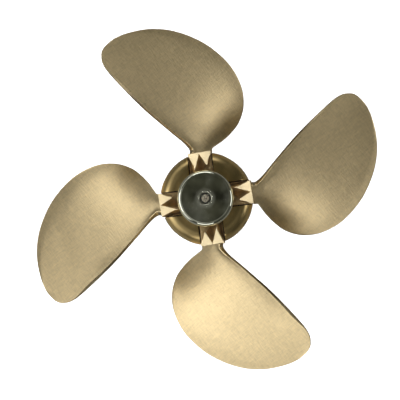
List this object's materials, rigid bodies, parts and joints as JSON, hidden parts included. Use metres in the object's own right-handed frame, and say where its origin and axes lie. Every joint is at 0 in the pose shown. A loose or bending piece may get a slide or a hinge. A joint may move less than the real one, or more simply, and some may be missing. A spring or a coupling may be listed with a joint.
{
  "type": "folding ship propeller",
  "caption": "Right-handed folding ship propeller with bronze blades hinged aft on cross pins in a slotted bronze hub, under a polished end cap.",
  "frame": {"origin": "centre of the hub's flat forward face, on the shaft axis", "axes": "+Z along the shaft axis, pointing aft; +Y along the root axis of blade 1; blades 2, 3 and 4 follow clockwise seen from astern"},
  "size_m": [0.4396, 0.4396, 0.147],
  "materials": {
    "blade_bronze": "fine cross-brushed bronze",
    "hub_bronze": "polished bronze, a little darkened",
    "polished_steel": "mirror",
    "washer_steel": "satin",
    "pin_steel": "ground",
    "screw_bronze": "turned",
    "bush_polymer": "plain"
  },
  "bodies": {
    "hub": {"hub": "hub_bronze", "end_cap": "polished_steel", "cap_screw": "screw_bronze", "lock_plug": "hub_bronze", "shaft_nut": "hub_bronze", "tab_washer": "washer_steel", "hinge_pin_1": "pin_steel", "hinge_pin_2": "pin_steel", "hinge_pin_3": "pin_steel", "hinge_pin_4": "pin_steel", "pin_plug_1": "screw_bronze", "pin_plug_2": "screw_bronze", "pin_plug_3": "screw_bronze", "pin_plug_4": "screw_bronze"},
    "blade_1": {"blade_1": "blade_bronze", "pin_bush_1": "bush_polymer"},
    "blade_2": {"blade_2": "blade_bronze", "pin_bush_2": "bush_polymer"},
    "blade_3": {"blade_3": "blade_bronze", "pin_bush_3": "bush_polymer"},
    "blade_4": {"blade_4": "blade_bronze", "pin_bush_4": "bush_polymer"}
  },
  "joints": [
    {"name": "blade_1_fold", "type": "hinge", "parent": "hub", "child": "blade_1", "pos_m": [0, 0.044, 0.1], "axis": [1, 0, 0], "range_deg": [0, 70]},
    {"name": "blade_2_fold", "type": "hinge", "parent": "hub", "child": "blade_2", "pos_m": [0.044, 0, 0.1], "axis": [0, -1, 0], "range_deg": [0, 70]},
    {"name": "blade_3_fold", "type": "hinge", "parent": "hub", "child": "blade_3", "pos_m": [0, -0.044, 0.1], "axis": [-1, 0, 0], "range_deg": [0, 70]},
    {"name": "blade_4_fold", "type": "hinge", "parent": "hub", "child": "blade_4", "pos_m": [-0.044, 0, 0.1], "axis": [0, 1, 0], "range_deg": [0, 70]}
  ],
  "couplings": [
    {"joint": "blade_2_fold", "follows": "blade_1_fold", "ratio": 1},
    {"joint": "blade_3_fold", "follows": "blade_1_fold", "ratio": 1},
    {"joint": "blade_4_fold", "follows": "blade_1_fold", "ratio": 1}
  ]
}
